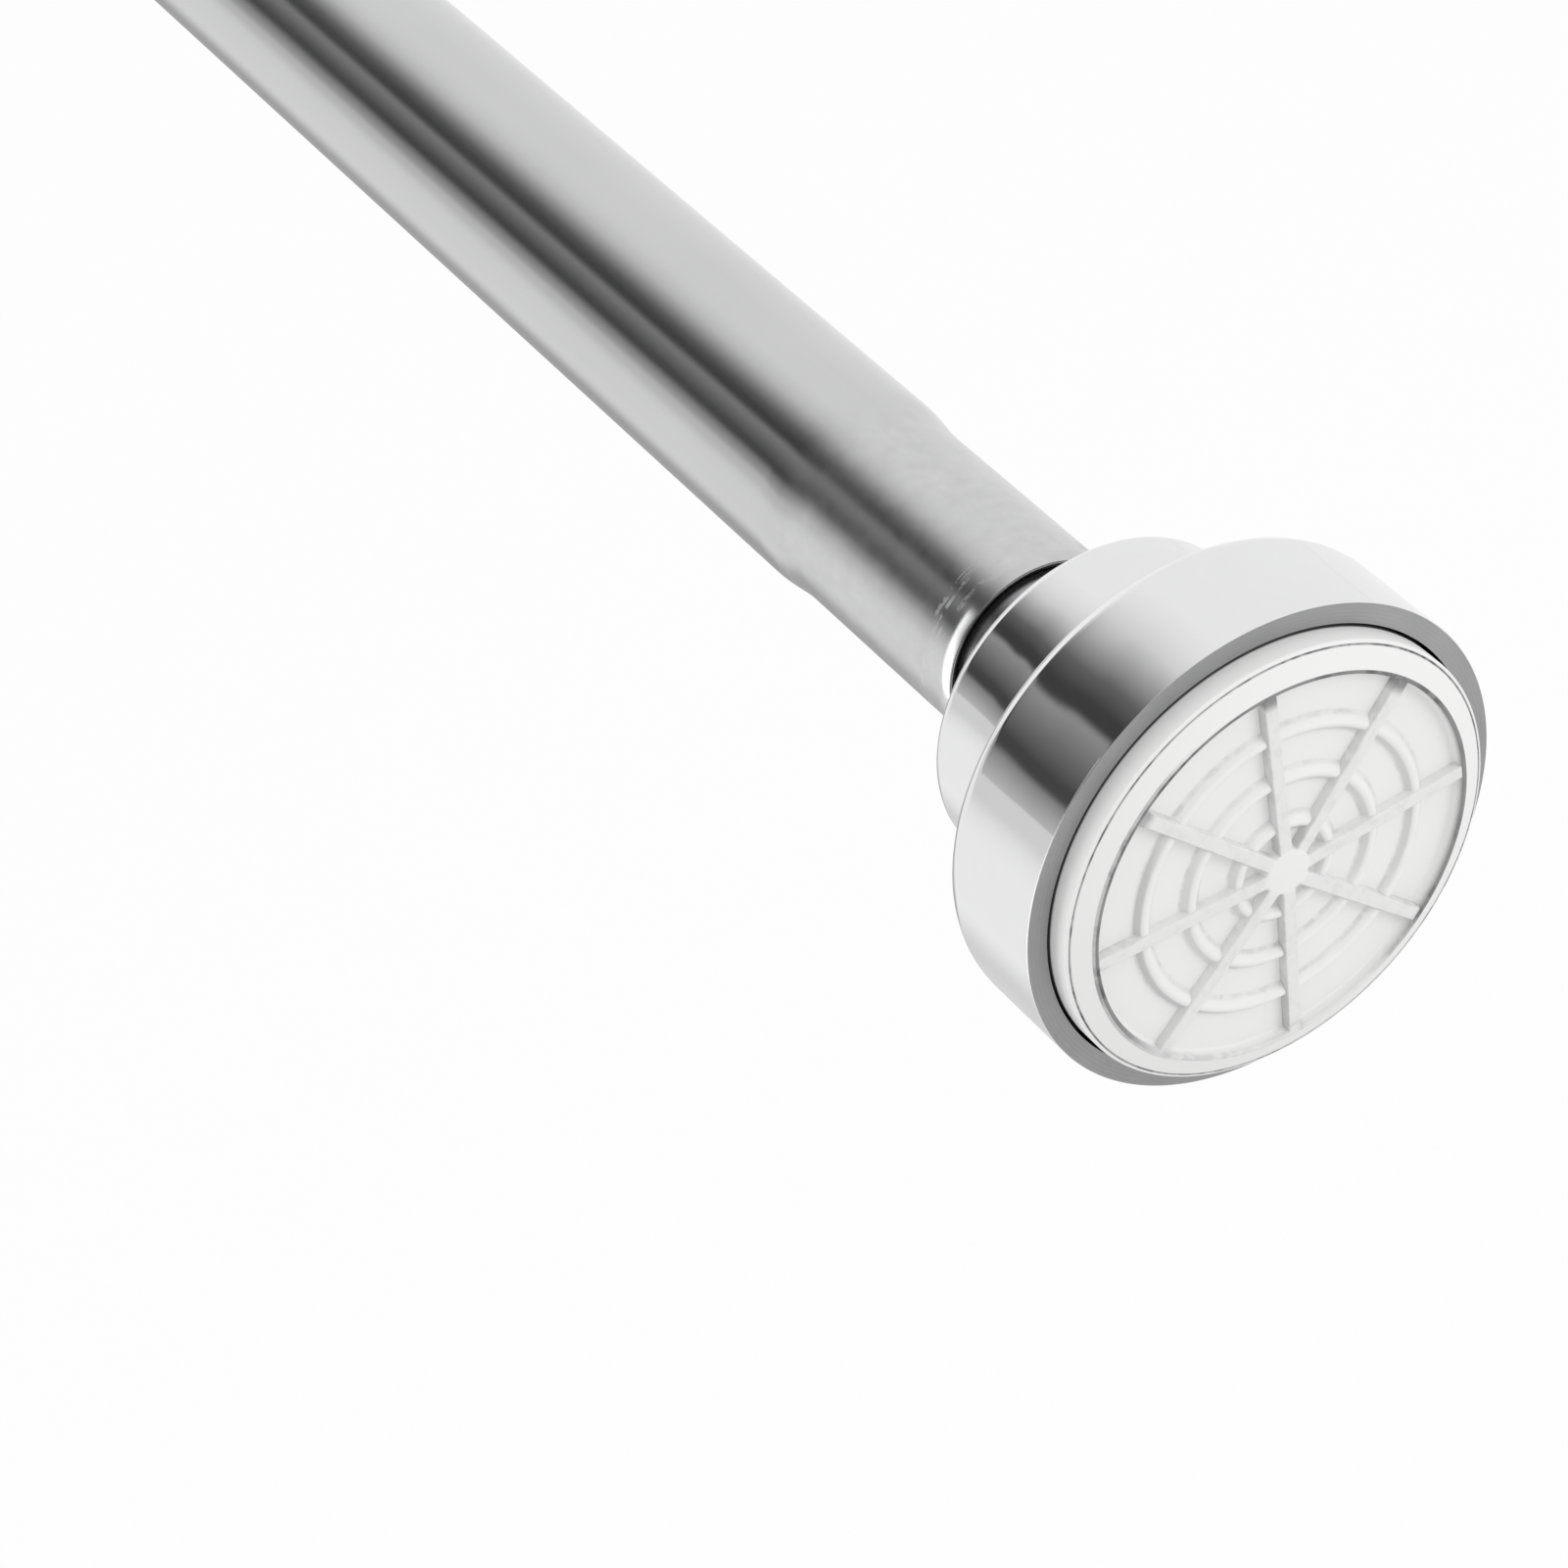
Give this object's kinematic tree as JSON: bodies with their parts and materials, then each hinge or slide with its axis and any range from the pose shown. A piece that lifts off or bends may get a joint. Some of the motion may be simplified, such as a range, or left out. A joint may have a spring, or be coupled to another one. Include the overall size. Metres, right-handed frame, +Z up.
{
  "type": "spring tension rod",
  "caption": "Telescopic spring tension rod with a twist-locked inner tube, stepped round end caps and soft treaded pads that press between two facing walls.",
  "frame": {"origin": "centre of the left pad's flat hub, on the plane of the left wall", "axes": "+X along the rod to the right end, +Z up, +Y away from the viewer of the front"},
  "size_m": [0.406, 0.058, 0.058],
  "materials": {
    "outer_steel": "polished",
    "inner_steel": "satin",
    "plated_plastic": "mirror-plated",
    "white_rubber": "matte",
    "black_plastic": "matte",
    "white_plastic": "matte",
    "zinc_steel": "zinc-plated",
    "spring_steel": "oiled"
  },
  "bodies": {
    "outer": {"outer_tube": "outer_steel", "mouth_bush": "black_plastic", "left_plug": "black_plastic", "left_cap": "plated_plastic", "left_pad": "white_rubber", "left_screw": "zinc_steel"},
    "collar": {"lock_collar": "black_plastic"},
    "cone": {"cone_nut": "white_plastic"},
    "spindle": {"spindle": "zinc_steel", "collar_clip": "zinc_steel", "spring_washer": "zinc_steel", "spindle_nut": "zinc_steel"},
    "inner": {"inner_tube": "inner_steel", "guide_plug": "black_plastic", "spring_stop": "black_plastic", "spring": "spring_steel", "right_plug": "black_plastic", "right_cap": "plated_plastic", "right_pad": "white_rubber", "right_screw": "zinc_steel"}
  },
  "joints": [
    {"name": "extension", "type": "slide", "parent": "outer", "child": "collar", "axis": [1, 0, 0], "range_m": [0, 0.2032]},
    {"name": "twist", "type": "hinge", "parent": "collar", "child": "spindle", "pos_m": [0.08, 0, 0], "axis": [1, 0, 0], "range_deg": [-360, 0]},
    {"name": "cone_draw", "type": "slide", "parent": "collar", "child": "cone", "axis": [1, 0, 0], "range_m": [0, 0.004]},
    {"name": "spring_stroke", "type": "slide", "parent": "spindle", "child": "inner", "axis": [1, 0, 0], "range_m": [-0.025, 0], "stiffness_N_per_m": 3000, "springref_m": 0.006, "deforming": ["spring"]}
  ],
  "couplings": [
    {"joint": "cone_draw", "follows": "twist", "m_per_rad": -0.0006366}
  ]
}
